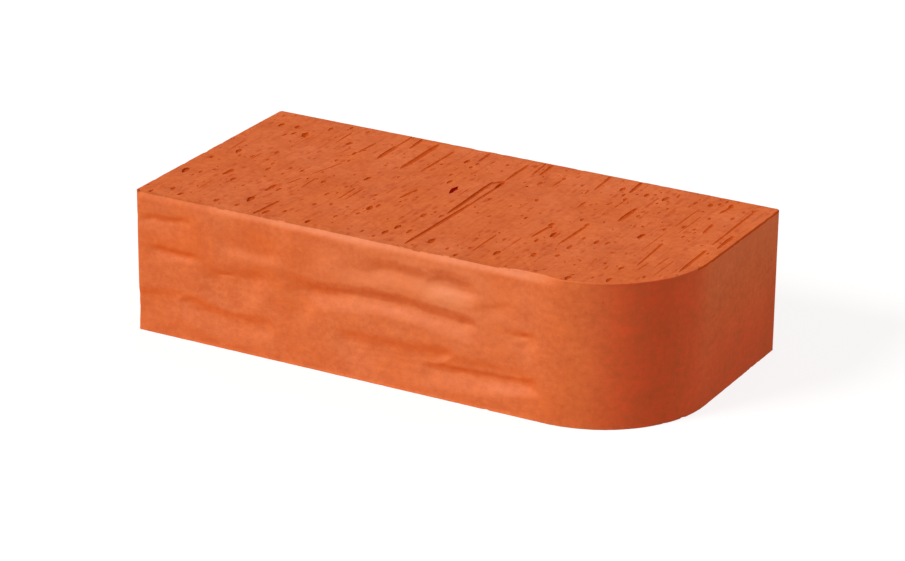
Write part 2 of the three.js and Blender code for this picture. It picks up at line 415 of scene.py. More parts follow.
# %% [markdown]
# ## The clay's colour
#
# The clay is red because it is rich in iron and was fired with plenty of air. It is not
# glazed: its surface is a mass of sintered grains, so it is nearly matte, and its colour is
# never quite even. Six finishes come from the same clay. The die and the roller press a close
# skin. The wire tears open a slightly sandy bed and drags some of it over the edge. Pits,
# scores and the one deep pit are coloured deeper and redder, which is painted shade in them.

# %% Helpers for nodes and colours
def linear(code):
    """An sRGB colour such as "D16838" as the linear RGBA that Blender works in."""
    channels = [int(code[i : i + 2], 16) / 255 for i in (0, 2, 4)]
    return [c / 12.92 if c <= 0.04045 else ((c + 0.055) / 1.055) ** 2.4 for c in channels] + [1.0]


def add(tree, kind, inputs=None, **settings):
    """Add a node. An input takes a value, an output, or a node for its first output."""
    node = tree.nodes.new(kind)
    for name, value in settings.items():
        setattr(node, name, value)
    for key, value in (inputs or {}).items():
        if isinstance(value, bpy.types.Node):
            value = value.outputs[0]
        if isinstance(value, bpy.types.NodeSocket):
            tree.links.new(value, node.inputs[key])
        else:
            node.inputs[key].default_value = value
    return node


def blank_tree(owner):
    """The emptied node tree of a new material or world."""
    owner.use_nodes = True
    owner.node_tree.nodes.clear()
    return owner.node_tree


RAMP = {"operation": "MULTIPLY_ADD", "use_clamp": True}  # inputs 0 * 1 + 2, held between 0 and 1

# %% [markdown]
# ## Fired clay
#
# One function builds all six finishes. Wide fields of about 30 mm and clouds of about 12 mm
# come from uneven firing, smaller spots and grains from the sand in the clay, and stretched
# noise draws the lines of the wire or the roller. Some of those lines are torn deep, with bump,
# and their dark colour is painted shade; dark specks are painted shade of the pores that are too
# small to model. The grain is far too fine for mesh, so it is bump, and a little coarser than
# real sand so that it shows.
#
# The beds and the clay in pits and scores are matte. The roller leaves a broad soft gloss on the
# long face, weaker towards its left end and none at its foot. Two attributes of the mesh paint
# light on its skin. One gives a pale painted highlight where the rolled face turns up and along
# its soft top edge, a pale painted sheen on the header's top and a redder painted shade on steep
# drops, and adds a few broad patches, some paler and some deeper in tone. The other is painted
# shade on the rounded corner and the header, most at the header's foot.

# %% Patterns of the clay
# Colours of painted shade, for torn lines and for pores too small to model
TORN_LINE_SHADE_COLOUR, PORE_SHADE_COLOUR = "B8460C", "B43600"
FIELD_MM, CLOUD_MM, SPOT_MM = 30.0, 12.0, 2.6


def specks_at(tree, vector, size_mm):
    """1 in the middle of some of the cells of a pattern of this size, and 0 between them."""
    cells = add(tree, "ShaderNodeTexVoronoi", {"Vector": vector, "Scale": 1 / size_mm}).outputs
    number = add(tree, "ShaderNodeSeparateColor", {0: cells["Color"]})
    picked = add(tree, "ShaderNodeMath", {0: number, 1: 5.0, 2: -2.6}, **RAMP)
    middle = add(tree, "ShaderNodeMath", {0: cells["Distance"], 1: -4.2, 2: 1.65}, **RAMP)
    return add(tree, "ShaderNodeMath", {0: middle, 1: picked}, operation="MULTIPLY")


def rolled_gloss(tree, in_mm):
    """1 at the right of the rolled face, half as much at its left end and 0 on other sides."""
    axes = add(tree, "ShaderNodeSeparateXYZ", {0: in_mm}).outputs
    gloss = 1.0
    for axis, slope, start in (
        (axes["X"], -1 / 16, (rounding_x + 2) / 16),  # up to the rounded corner
        (axes["Y"], -1.0, front + 5),  # only in front
        (axes["X"], 0.5 / 80, 0.5 + 0.5 * half_length / 80),  # weaker at the left end
        (axes["Z"], 1 / 8, -0.25),  # none at the foot
    ):
        ramp = add(tree, "ShaderNodeMath", {0: axis, 1: slope, 2: start}, **RAMP)
        gloss = add(tree, "ShaderNodeMath", {0: gloss, 1: ramp}, operation="MULTIPLY")
    return gloss


def coated(tree, colour, coats):
    """A colour under coats. Each has a pattern that says where it lies, a strength and a colour."""
    for where, strength, coat in coats:
        share = add(tree, "ShaderNodeMath", {0: where, 1: strength, 2: 0.0}, **RAMP)
        mix = {0: share, 6: colour, 7: coat}
        colour = add(tree, "ShaderNodeMix", mix, data_type="RGBA").outputs[2]
    return colour


# %% One finish of the clay
def fired_clay(name, pale, warm, deep, grain_mm=0.55, line_stretch=(1, 1, 1), line_mm=1.1,
               line_share=1.0, spot_share=1.0, bump_mm=0.1, roughness=0.9, rolled_roughness=None,
               gloss_level=0.25, streaks=0.0, specks=0.0, speck_mm=2.2, speck_stretch=(1, 1, 1), skin=None):
    material = bpy.data.materials.new(name)
    tree = blank_tree(material)
    place = add(tree, "ShaderNodeTexCoord").outputs["Object"]
    in_mm = add(tree, "ShaderNodeMapping", {"Vector": place, "Scale": (1 / MM, 1 / MM, 1 / MM)})
    in_lines = add(tree, "ShaderNodeMapping", {"Vector": in_mm, "Scale": line_stretch})
    in_specks = add(tree, "ShaderNodeMapping", {"Vector": in_mm, "Scale": speck_stretch})
    patterns = (
        (in_mm, FIELD_MM, 1.0), (in_mm, CLOUD_MM, 3.0), (in_mm, SPOT_MM, 2.0), (in_mm, grain_mm, 2.0),
        (in_lines, line_mm, 2.0), (in_lines, 1.7 * line_mm, 1.0),
    )
    fields, clouds, spots, grain, lines, wide_lines = (
        add(tree, "ShaderNodeTexNoise", {"Vector": vector, "Scale": 1 / size_mm, "Detail": detail})
        for vector, size_mm, detail in patterns
    )
    torn_lines = add(tree, "ShaderNodeMath", {0: wide_lines, 1: 9.0, 2: -5.4}, **RAMP)
    speck = specks_at(tree, in_specks, speck_mm)

    tone = 0.0
    for uneven, contrast in ((clouds, 1.8), (lines, line_share), (spots, 2.4 * spot_share)):
        part = {0: uneven, 1: contrast, 2: 0.5 - contrast / 2}
        part = add(tree, "ShaderNodeMath", part, **RAMP)
        tone = add(tree, "ShaderNodeMath", {0: tone, 1: part}, operation="ADD")
    tone = add(tree, "ShaderNodeMath", {0: tone, 1: grain}, operation="ADD")
    tone = add(tree, "ShaderNodeMath", {0: tone, 1: 0.55, 2: -0.58}, **RAMP)
    warmth = add(tree, "ShaderNodeMath", {0: fields, 1: 2.6, 2: -0.8}, **RAMP)
    under = [(warmth, 1.0, linear(warm))]
    # Torn lines and specks are darkened as painted shade of hollows too fine to model
    over = [(torn_lines, streaks, linear(TORN_LINE_SHADE_COLOUR)), (speck, specks, linear(PORE_SHADE_COLOUR))]
    if skin is not None:
        # Two attributes paint light on the skin: one deepens it as painted shade, the other turns it pale as
        # a painted highlight above 0 and a redder painted shade below 0.
        dense = add(tree, "ShaderNodeAttribute", attribute_name="dense").outputs["Fac"]
        rubbed = add(tree, "ShaderNodeAttribute", attribute_name="rubbed").outputs["Fac"]
        under.append((dense, 1.0, linear(skin["dense"])))
        over.append((rubbed, 1.0, linear(skin["pale"])))
        over.append((rubbed, -1.0, linear(skin["raw_and_painted_shade"])))
    body = coated(tree, linear(pale), under)
    colour = coated(tree, linear(deep), [(tone, 1.0, body)] + over)

    torn = add(tree, "ShaderNodeMath", {0: torn_lines, 1: streaks}, operation="MULTIPLY")
    height = add(tree, "ShaderNodeMath", {0: grain, 1: lines}, operation="ADD")
    height = add(tree, "ShaderNodeMath", {0: height, 1: torn}, operation="SUBTRACT")
    bump = add(tree, "ShaderNodeBump", {"Height": height, "Strength": 1.0, "Distance": bump_mm * MM})
    if rolled_roughness is not None:
        change = {0: rolled_gloss(tree, in_mm), 1: rolled_roughness - roughness, 2: roughness}
        roughness = add(tree, "ShaderNodeMath", change, **RAMP)
    shader = {"Base Color": colour, "Roughness": roughness, "IOR": 1.5, "Specular IOR Level": gloss_level,
              "Normal": bump}
    shader = add(tree, "ShaderNodeBsdfPrincipled", shader)
    add(tree, "ShaderNodeOutputMaterial", {"Surface": shader})
    return material


# %% The six finishes
pressed_clay = fired_clay(
    "fired clay, die and roller skin", "E17B45", "DF7134", "C86030", grain_mm=0.8,
    line_stretch=(0.35, 0.35, 1.0), line_mm=2.4, spot_share=0.8, bump_mm=0.07, roughness=0.85,
    rolled_roughness=0.52, gloss_level=0.18, specks=0.1,
    # Skin colours: a pale painted highlight, a redder painted shade for steep drops, and a deeper painted
    # shade for the corner and header
    skin={"pale": "E48F60", "raw_and_painted_shade": "F0660A", "dense": "EA6033"})
wire_cut_clay = fired_clay(
    "fired clay, wire-cut bed", "E17945", "DE7032", "C05625", line_stretch=(1.0, 0.08, 1.0),
    line_share=0.8, spot_share=0.7, bump_mm=0.06, roughness=0.92, streaks=0.32, specks=0.48,
    speck_mm=3.0, speck_stretch=(1.0, 0.4, 1.0))
dragged_clay = fired_clay(
    "fired clay, dragged over the edge", "CA6E40", "C8662F", "AC5022",
    line_stretch=(0.35, 1.0, 1.0), line_share=0.8, bump_mm=0.1, roughness=0.92)
# Settings of the finishes in pits, scores and pores, whose deeper, redder colours are painted shade in those
# hollows; the deep pit's is darkest
raw_and_painted_shade = {"grain_mm": 0.5, "bump_mm": 0.12, "roughness": 0.95, "gloss_level": 0.1}
pit_clay_painted_shade = fired_clay("fired clay, torn open, with painted shade", "D65812", "CA4E0C", "B04006", **raw_and_painted_shade)
deep_pit_painted_shade = fired_clay("fired clay, deep pit, with painted shade", "C42200", "B81C00", "A01400", **raw_and_painted_shade)
dark_painted_shade_clay = fired_clay("fired clay, scored by the wire", "D45A18", "C85010", "B6440C", **raw_and_painted_shade)
finishes = [pressed_clay, wire_cut_clay, dragged_clay, pit_clay_painted_shade, deep_pit_painted_shade, dark_painted_shade_clay]
print("materials:", [material.name for material in finishes])

# %% Finishes on the body
for material in finishes:
    body_mesh.materials.append(material)
bed_faces = np.arange(len(faces)) >= wall_faces
x, y, z = np.array([polygon.center for polygon in body_mesh.polygons]).T / MM
lip = HEIGHT - 1.0 + 0.35 * lumps(x / 2, 0, 0, 3.0, 61) + 2.0 * ease(x - rounding_x + 25, 20.0)
folded_lip = ~bed_faces & (z > lip) & (y < front + 4) & (x < rounding_x)
# A thin strip under the top edge of the right header takes the dark finish, as a painted shadow line cast by
# that edge
shadow_line_base = HEIGHT - 0.9 - 0.25 * lumps(x, y / 2, 0, 3.0, 62)
painted_shadow_line = ~bed_faces & (z > shadow_line_base) & (x > right - 3) & (y > -20)
finish = np.where(bed_faces, finishes.index(wire_cut_clay), finishes.index(pressed_clay))
finish[folded_lip] = finishes.index(dragged_clay)
finish[painted_shadow_line] = finishes.index(dark_painted_shade_clay)
body_mesh.polygons.foreach_set("material_index", finish)
plain_skin = ~bed_faces & ((x > rounding_x) | (y > front + 2))
for name, where in (("wire_cut", bed_faces), ("plain_skin", plain_skin)):
    body_mesh.attributes.new(name, "BOOLEAN", "FACE").data.foreach_set("value", where)

# %% [markdown]
# ## Pores
#
# Grains and scraps that stood proud were plucked out by the wire, and air bubbles were cut
# open. Hundreds of such pits cover each bed, so Geometry Nodes scatter them: points at least
# a set spacing apart, one of a few lumpy shapes on each, stretched the way the wire went. The
# result is a cloud of small solids, and a boolean takes them out of the body. No two may
# overlap, because the boolean needs clean solids, and that is what the spacing is for.

# %% Lumpy shapes to cut pores with
FURROW_SIDES = 8
# Share of a furrow's length, and its width there as a share of the widest
FURROW_PROFILE = [(0.01, 0.4), (0.05, 0.75), (0.2, 1.0), (0.45, 0.95), (0.7, 0.9), (0.88, 0.7), (0.97, 0.35)]


def as_object(name, bm):
    mesh = bpy.data.meshes.new(name)
    bm.to_mesh(mesh)
    bm.free()
    return bpy.data.objects.new(name, mesh)


def lump(name, seed, fineness):
    """A lumpy ball about one unit across."""
    bm = bmesh.new()
    bmesh.ops.create_icosphere(bm, subdivisions=fineness, radius=0.5)
    for vert in bm.verts:
        vert.co *= 0.92 + 0.5 * noise.noise(vert.co * 2.6 + Vector((seed * 7.7, 0, seed)))
    return as_object(name, bm)


def furrow(name, seed):
    """A groove one unit long that starts blunt at y = 0 and runs out to nothing at y = -1."""
    bm = bmesh.new()
    rings = []
    for along, wide in FURROW_PROFILE:
        wide *= 0.5 * (1 + 0.3 * noise.noise(Vector((along * 6, seed * 3.1, 0))))
        drift = 0.12 * noise.noise(Vector((along * 4, 9.0, seed * 2.3)))
        angles = [2 * math.pi * i / FURROW_SIDES for i in range(FURROW_SIDES)]
        ring = [(drift + wide * math.cos(angle), -along, wide * math.sin(angle)) for angle in angles]
        rings.append([bm.verts.new(spot) for spot in ring])
    for near, far in zip(rings, rings[1:]):
        for i in range(FURROW_SIDES):
            bm.faces.new([near[i], near[i - 1], far[i - 1], far[i]])
    head, tail = bm.verts.new((0, 0, 0)), bm.verts.new((0, -1, 0))
    for i in range(FURROW_SIDES):
        bm.faces.new([head, rings[0][i - 1], rings[0][i]])
        bm.faces.new([tail, rings[-1][i], rings[-1][i - 1]])
    bmesh.ops.recalc_face_normals(bm, faces=bm.faces[:])
    return as_object(name, bm)


def shape_set(name, shapes):
    group = bpy.data.collections.new(name)
    for shape in shapes:
        group.objects.link(shape)
    return group


pore_shapes = shape_set("pore shapes", [lump(f"pore_shape_{i}", i + 1, 1) for i in range(6)])
pit_shapes = shape_set("pit shapes", [lump(f"pit_shape_{i}", i + 8, 2) for i in range(6)])
furrow_shapes = shape_set("furrow shapes", [furrow(f"furrow_shape_{i}", i + 1) for i in range(5)])

# %% The tree that scatters pores over a surface
def cutter_tree(name, **inputs):
    """A tree with a name and a kind for each input, and what its Group Input node gives."""
    tree = bpy.data.node_groups.new(name, "GeometryNodeTree")
    for key, kind in inputs.items():
        tree.interface.new_socket(key, in_out="INPUT", socket_type="NodeSocket" + kind)
    tree.interface.new_socket("Cutters", in_out="OUTPUT", socket_type="NodeSocketGeometry")
    return tree, add(tree, "NodeGroupInput").outputs


def place_shapes(tree, given, points, index, turn, bulk):
    """Put one of the given shapes on every point, and make real cutters of them."""
    shapes = {"Collection": given["Shapes"], "Separate Children": True}
    shapes = add(tree, "GeometryNodeCollectionInfo", shapes)
    placed = {"Points": points, "Instance": shapes, "Pick Instance": True,
              "Instance Index": index, "Rotation": turn, "Scale": bulk}
    placed = add(tree, "GeometryNodeInstanceOnPoints", placed)
    real = add(tree, "GeometryNodeRealizeInstances", {"Geometry": placed})
    done = add(tree, "GeometryNodeSetMaterial", {"Geometry": real, "Material": given["Finish"]})
    add(tree, "NodeGroupOutput", {"Cutters": done})


def pore_tree():
    tree, given = cutter_tree(
        "scatter pores", Clay="Geometry", Where="String", Spacing="Float", Density="Float",
        Smallest="Float", Largest="Float", Stretch="Float", Depth="Float", Seed="Int",
        Shapes="Collection", Finish="Material")
    chances = (
        ("FLOAT", 0.0, 1.0),  # how big
        ("FLOAT", 1.0, given["Stretch"]),  # length, over width
        ("FLOAT", 0.6, 1.2),  # depth, over the usual
        ("FLOAT", -0.1, 0.22),  # how far out, over depth
        ("FLOAT", -0.35, 0.35),  # turn, in radians
        ("INT", 0, 5),  # which shape
    )
    drawn = []
    for offset, (data_type, low, high) in enumerate(chances, start=1):  # no two share a seed
        seed = add(tree, "ShaderNodeMath", {0: given["Seed"], 1: float(offset)}, operation="ADD")
        lowest, result = (4, 2) if data_type == "INT" else (2, 1)
        limits = {"Seed": seed, lowest: low, lowest + 1: high}
        number = add(tree, "FunctionNodeRandomValue", limits, data_type=data_type)
        drawn.append(number.outputs[result])
    bigness, length, depth, rise, turn, shape = drawn

    where = add(tree, "GeometryNodeInputNamedAttribute", {"Name": given["Where"]}, data_type="BOOLEAN")
    place = add(tree, "GeometryNodeInputPosition")
    patchy = add(tree, "ShaderNodeTexNoise", {"Vector": place, "Scale": 1 / (22 * MM), "Detail": 1.0})
    patches = add(tree, "ShaderNodeMapRange", {0: patchy, 1: 0.35, 2: 0.6, 3: 0.25, 4: 1.0})
    points = {"Mesh": given["Clay"], "Selection": where, "Distance Min": given["Spacing"],
              "Density Max": given["Density"], "Density Factor": patches, "Seed": given["Seed"]}
    points = add(tree, "GeometryNodeDistributePointsOnFaces", points, distribute_method="POISSON")
    bigness = add(tree, "ShaderNodeMath", {0: bigness, 1: 2.2}, operation="POWER")  # mostly small
    wide = add(tree, "ShaderNodeMapRange", {0: bigness, 3: given["Smallest"], 4: given["Largest"]})
    long = add(tree, "ShaderNodeMath", {0: wide, 1: length}, operation="MULTIPLY")
    depth = add(tree, "ShaderNodeMath", {0: given["Depth"], 1: depth}, operation="MULTIPLY")
    deep = add(tree, "ShaderNodeMath", {0: wide, 1: depth}, operation="MULTIPLY")
    rise = add(tree, "ShaderNodeMath", {0: deep, 1: rise}, operation="MULTIPLY")
    shift = {0: points.outputs["Normal"], "Scale": rise}
    shift = add(tree, "ShaderNodeVectorMath", shift, operation="SCALE")
    moved = add(tree, "GeometryNodeSetPosition", {"Geometry": points, "Offset": shift})
    turned = add(tree, "ShaderNodeCombineXYZ", {2: turn})
    bulk = add(tree, "ShaderNodeCombineXYZ", {0: wide, 1: long, 2: deep})
    place_shapes(tree, given, moved, shape, turned, bulk)
    return tree


# %% Run a tree, and cut what it makes out of the clay
def applied(owner, modifier):
    """The plain mesh that a modifier makes of its owner. The modifier goes."""
    graph = bpy.context.evaluated_depsgraph_get()
    mesh = bpy.data.meshes.new_from_object(owner.evaluated_get(graph))
    owner.modifiers.remove(modifier)
    return mesh


def grown(tree, source, name, **inputs):
    """A new object, with the plain mesh that the tree makes from the source."""
    modifier = source.modifiers.new(tree.name, "NODES")
    modifier.node_group = tree
    for item in tree.interface.items_tree:
        if item.in_out == "INPUT" and item.name in inputs:
            modifier[item.identifier] = inputs[item.name]
    return in_scene(name, applied(source, modifier))


def cut_out(clay, cutters):
    modifier = clay.modifiers.new("cut", "BOOLEAN")
    modifier.operation, modifier.solver = "DIFFERENCE", "MANIFOLD"
    modifier.object, modifier.material_mode = cutters, "TRANSFER"
    clay.data = applied(clay, modifier)
    print(cutters.name, "cut with", len(cutters.data.polygons), "faces; clay", len(clay.data.polygons))
    bpy.data.objects.remove(cutters)


scatter_pores = pore_tree()
bed_pores = grown(
    scatter_pores, brick, "bed pores", Where="wire_cut", Spacing=3.8 * MM, Density=26000.0, Seed=7,
    Smallest=0.65 * MM, Largest=1.45 * MM, Stretch=2.6, Depth=0.4, Shapes=pore_shapes, Finish=dark_painted_shade_clay)
bed_pits = grown(
    scatter_pores, brick, "bed pits", Where="wire_cut", Spacing=8.5 * MM, Density=12000.0, Seed=5,
    Smallest=0.8 * MM, Largest=1.3 * MM, Stretch=3.0, Depth=0.5, Shapes=pore_shapes, Finish=pit_clay_painted_shade)
skin_pores = grown(
    scatter_pores, brick, "skin pores", Where="plain_skin", Spacing=4.0 * MM, Density=3500.0, Seed=12,
    Smallest=0.35 * MM, Largest=1.0 * MM, Stretch=1.2, Depth=0.6, Shapes=pore_shapes, Finish=pit_clay_painted_shade)
for cutters in (bed_pores, bed_pits, skin_pores):
    cut_out(brick, cutters)

# %% [markdown]
# ## Plucked pits and wire scores
#
# The largest pits, and the long straight scores that start at a grain and run the way the
# wire went, give this bed its face, so they are placed one by one. Each is a point that
# carries its own width, length, depth and lean, and one small tree puts a shape on every
# point. Fainter scores are added by chance wherever there is room for them. Marks that touch
# go into different layers, which are cut one after another.

# %% The tree that puts a shape on every marked point
def mark_tree():
    tree, given = cutter_tree(
        "shape on every mark", Marks="Geometry", Shapes="Collection", Finish="Material")
    wide, long, deep, lean = (
        add(tree, "GeometryNodeInputNamedAttribute", {"Name": name}, data_type="FLOAT")
        for name in ("wide", "long", "deep", "lean")
    )
    bulk = add(tree, "ShaderNodeCombineXYZ", {0: wide, 1: long, 2: deep})
    turn = add(tree, "ShaderNodeCombineXYZ", {2: lean})
    index = add(tree, "GeometryNodeInputIndex")  # the shapes are taken in turn
    place_shapes(tree, given, given["Marks"], index, turn, bulk)
    return tree


def marks(name, rows):
    """Rows of x, y, z, width, length, depth in mm and lean in radians, as a mesh of points."""
    columns = np.array(rows, float).T * MM
    columns[6] /= MM  # the lean is no length
    mesh = bpy.data.meshes.new(name)
    mesh.from_pydata(columns[:3].T, [], [])
    for key, values in zip(("wide", "long", "deep", "lean"), columns[3:]):
        mesh.attributes.new(key, "FLOAT", "POINT").data.foreach_set("value", values)
    return in_scene(name, mesh)


# %% Pits of the upper bed: x, y and width
PITS = [
    (-114.5, 43.5, 2), (-107, 45, 2), (-104, 37, 1.5), (-106.5, 33, 1.2), (-98.5, 37.5, 3),
    (-92.5, 50, 1.6), (-85, 56, 1.4), (-75.5, 38, 2), (-67, 28, 1.5), (-69.5, 16, 1.3), (-64.5, 18.5, 1.2),
    (-113, 4.5, 2), (-109.5, 0, 1.1), (-119, -8, 1.4), (-104, 2, 1.2), (-97.5, 11.5, 1.4), (-96, 1.5, 1.3),
    (-91.5, -1.5, 1), (-89.5, -8.5, 1.5), (-81.5, -2.5, 1.4), (-75.5, -2.5, 1.3), (-81, -10, 1.1),
    (-86, -17, 1.1), (-120, -28, 2.6), (-113, -26.5, 1.4), (-114, -31.5, 1.2), (-109.5, -20.5, 1.1),
    (-96, -27, 1.8), (-88, -31.5, 1.1), (-60.5, -10, 1.4), (-72, -28, 1.4), (-112, -50, 1.8),
    (-105.5, -54, 1.5), (-118.5, -58, 1.3), (-88.5, -52.5, 2.1), (-76.5, -44, 2.6), (-77.5, -53, 1.4),
    (-62.5, -54, 2), (-41.5, -54.5, 2), (-56, -49, 1.3), (-43.5, -32, 1.4), (-34.5, -43.5, 1.1),
    (-98, -61, 1.2), (-49.5, -35.5, 1.4), (-28, -35.5, 1.2), (-17.5, -59.5, 1.2), (-64.5, -30, 1),
    (-51.5, -22, 1.1), (-48.5, -10.5, 1.1), (-76, 55, 1.5), (-46, 3.5, 1.8), (-27, -27.5, 2.4),
    (-25, -23.5, 1.3), (-32.5, -13, 1.2), (-5.5, -41, 1.9), (-7, -49, 2), (-9, -55, 1.2), (-16, -52.5, 1.1),
    (1, -42.5, 1.3), (-3, -23.5, 1.9), (4, -20.5, 1.4), (-0.5, -17.5, 1.1), (-20.5, 0.5, 1.5),
    (-47.5, 21.5, 1.1), (-19, 44, 2), (-14, 38.5, 1.4), (-13.5, 43.5, 1.2), (-13, 17.5, 1.6),
    (-27, 35.5, 1.1), (-17, 26, 1.1), (12, 8, 1.6), (30, 17, 1.6), (21.5, 36, 1.5), (10, 54, 1.4),
    (-1.5, 49.5, 1.3), (36, -4, 1.3), (52, -25, 1.6), (58.5, -40, 1.9), (44.5, -46, 2), (40, -31, 1.3),
    (29.5, -35.5, 1.2), (31, -57, 1.5), (24.5, -52, 1.2), (14.5, -48, 2.6), (32, -46.5, 1), (56, 47.5, 1.9),
    (62.5, 37, 1.5), (59.5, 41.5, 1.2), (68, 46.5, 1.9), (71, 49, 1.1), (77, 46.5, 1.9), (90.5, 48.5, 1.5),
    (97, 49.5, 2), (100, 52.5, 1.3), (105, 53, 1.6), (101.5, 56.5, 1.1), (103.5, 34.5, 1.3),
    (112, 39.5, 1.2), (57.5, 6, 1.4), (49, -5.5, 2), (55, -15.5, 2.1), (74.5, -14, 1.8), (68, -13, 1.2),
    (79, -13, 1.2), (67.5, -25, 1.6), (67.5, -35.5, 1.7), (87.5, 2, 2.3), (80, 10.5, 1.1), (83, 12, 1.1),
    (92.5, 13.5, 1.1), (98.5, 20, 1.2), (103.5, 20, 1.3), (103, 10, 1.1), (96.5, -35, 1.5), (91, -19.5, 1),
    (82.5, -55.7, 2), (98, -49.5, 1.7), (109, -39, 1.2), (88.5, -33.5, 1.1), (83, 36, 1), (97.5, 41, 1),
    (76, 22, 1.1), (28, 46.5, 1.5), (62, 2, 1.6), (71.5, 28, 1.6), (91, -50, 1.1), (78, -36, 1.1),
]

# %% Scores of the upper bed: x, y of the head, y of the tail, width, depth and sideways drift
SCORES = [
    (-55.5, 60.5, 42.5, 0.8, 0.3, 0.1), (-55.5, 46, 27, 1.6, 0.6, 0.5), (-40.5, 57, 21, 1.8, 0.65, 0.7),
    (-50, 59, 45.5, 1.1, 0.45, 1), (-30, 53, 22, 1.2, 0.35, -0.4), (-15, 58, 46.5, 1, 0.4, 0.5),
    (-65.5, 44, 29, 0.9, 0.35, -0.8), (3.2, 27.5, -17, 1.4, 0.7, 1.7), (8.1, 23, -9, 0.85, 0.35, -0.3),
    (7.9, -0.5, -57.5, 1.3, 0.6, -1.3), (7.3, 30.6, 24.3, 1.15, 0.5, -4), (6.5, 54, 31, 1.1, 0.45, 0.6),
    (12.5, 59, 43.5, 0.9, 0.35, 1.1), (16, 59, 44.5, 1.2, 0.45, 0.8), (49.5, -7, -23, 1, 0.4, -1.2),
    (-21, -0.5, -10.5, 1.1, 0.4, -1), (1, -40, -45.5, 1, 0.35, 0.3), (44.5, 59, 40, 1, 0.4, 1.3),
    (59.5, 59.5, 45, 1.3, 0.55, 1), (71.5, 27.5, 12, 1.5, 0.6, 0), (62.5, 0.5, -23.5, 1.1, 0.4, -0.6),
    (49, 26, 18, 0.9, 0.3, 0.1), (59.5, 31, 27, 0.8, 0.25, -1.2), (99, -1, -29.5, 0.9, 0.3, 1.9),
    (107.5, 30, 17, 1, 0.35, 1.1), (116.5, 54, 6, 0.9, 0.35, 1.1), (121, 21.5, 4.5, 1.2, 0.45, 0.3),
    (118, 1, -27, 1.2, 0.45, 0.8), (106, 53, 42.5, 1.1, 0.4, -1.5), (28, 44.5, 34.5, 0.9, 0.3, -0.3),
    (80, 55, 49.5, 0.8, 0.3, 1), (43.5, 40, 34, 0.7, 0.25, 0.9), (-102.5, -16, -24.5, 1.5, 0.55, -0.3),
    (-76, -23, -32.5, 1.3, 0.5, -0.3), (-64.5, -39.5, -60.5, 1.1, 0.4, -1.6),
    (-65.5, 15, -6.5, 0.7, 0.25, -4.6), (-71, -11, -21, 0.7, 0.25, -2.2),
    (-65.5, -8, -22.5, 0.7, 0.25, 0.7), (-41, -8, -24.5, 0.6, 0.2, -0.3), (34.5, -27, -50, 0.8, 0.25, 0.3),
]

# %% Faint scores wherever there is room
def faint_scores(chance, count, taken, from_x=left + 3, longest=24):
    """The scores taken, and up to count faint ones that keep clear of them."""
    added = []
    for _ in range(count * 6):
        if len(added) == count:
            break
        x = chance.uniform(from_x, right - 3)
        head = chance.uniform(front + 12, back - 1.5)
        tail = head - chance.uniform(longest / 6, longest) * chance.uniform(0.4, 1)
        width = chance.uniform(0.4, 0.8)
        clear = all(
            abs(x - other[0]) > 2.2 + abs(other[5]) or head < other[2] - 1 or tail > other[1] + 1
            for other in taken + added
        )
        if clear and inside_by(x, tail) > 2.0 and inside_by(x, head) > 1.0:
            added.append((x, head, tail, width, chance.uniform(0.1, 0.2), chance.uniform(-0.3, 0.3)))
    return taken + added


def score_marks(scores, z):
    """Scores as rows of marks, on the bed at this height."""
    rows = []
    for x, head, tail, width, depth, drift in scores:
        long = math.hypot(head - tail, drift)
        lean = math.atan2(drift, head - tail)
        rows.append((x, head, z - 0.25 * depth * (z > 0), 1.65 * width, long, 1.8 * depth, lean))
    return rows


# %% Marks of both beds
chance = random.Random(3)
upper_scores = faint_scores(chance, 16, SCORES, from_x=94, longest=60)
upper_scores = faint_scores(chance, 70, upper_scores)
lower_scores = faint_scores(chance, 110, [])
score_rows = score_marks(upper_scores, HEIGHT) + score_marks(lower_scores, 0.0)
pit_rows = []
for x, y, wide in PITS:
    long = (wide + 0.2) * chance.uniform(2.2, 3.1)
    lean = chance.uniform(-0.1, 0.2)
    pit_rows.append((x, y, HEIGHT - 0.1, 1.1 * wide + 0.25, long, (0.2 + 0.15 * wide) * wide, lean))
for index in range(34):  # pits of the lower bed, on a loose grid
    x = -112 + 27 * (index % 9) + chance.uniform(-9, 9)
    y = -46 + 30 * (index // 9) + chance.uniform(-10, 10)
    if inside_by(x, y) > 3:
        pit_rows.append((x, y, -0.2, chance.uniform(1.0, 2.0), chance.uniform(2.4, 5.0), 1.4, 0.0))
deep_row = (-6.7, 9.8, HEIGHT - 0.2, 3.1, 9.6, 2.8, 0.1)  # the largest grain that was plucked out
knot_row = (7.6, 25.4, HEIGHT - 0.1, 2.5, 9.5, 1.1, 0.09)  # where the long twin score starts
print(len(pit_rows), "pits and", len(score_rows), "scores;", len(PITS), "and", len(SCORES), "by hand")

# %% Cut the marks out, layer by layer
def layers(rows, from_head):
    """Sort marks into layers, so that no two marks of one layer touch."""
    made = []
    for row in rows:
        x, y, _, wide, long, _, lean = row
        half = long / 2
        if from_head:
            x, y = x + half * math.sin(lean), y - half * math.cos(lean)
        reach_x, reach_y = 0.6 * wide + half * abs(math.sin(lean)), 1.2 * half
        for layer in made:
            if all(abs(x - o[0]) > reach_x + o[2] or abs(y - o[1]) > reach_y + o[3] for o, _ in layer):
                break
        else:
            layer = []
            made.append(layer)
        layer.append(((x, y, reach_x, reach_y), row))
    return [[row for _, row in layer] for layer in made]


